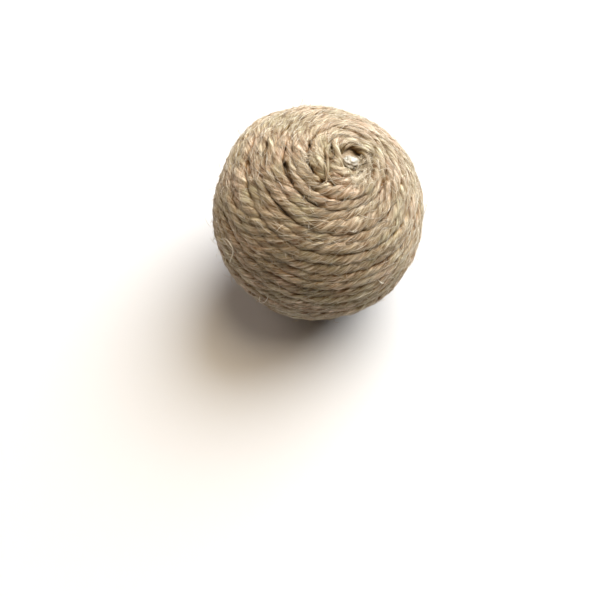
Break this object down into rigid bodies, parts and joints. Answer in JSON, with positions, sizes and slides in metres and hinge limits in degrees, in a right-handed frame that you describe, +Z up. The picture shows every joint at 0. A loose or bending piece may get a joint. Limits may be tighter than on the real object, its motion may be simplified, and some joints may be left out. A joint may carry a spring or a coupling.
{
  "type": "ball of jute twine",
  "caption": "Ball of coarse jute twine wound in one spiral from pole to pole, with a small hollow at the upper pole held by dried glue and a small flat underside to rest on.",
  "frame": {"origin": "middle of the underside of the ball's box, on the surface that it rests on", "axes": "+Z up; -Y is the side seen in front, with the winding's upper pole leaning a little towards +X and -Y"},
  "size_m": [0.06, 0.0602, 0.0588],
  "materials": {
    "jute_twine": "matt natural jute, hairy, with lighter and darker fibres",
    "dried_glue": "glossy, milky, uneven"
  },
  "bodies": {
    "root": {"twine_ball": "jute_twine", "glue_dab": "dried_glue"}
  },
  "joints": []
}
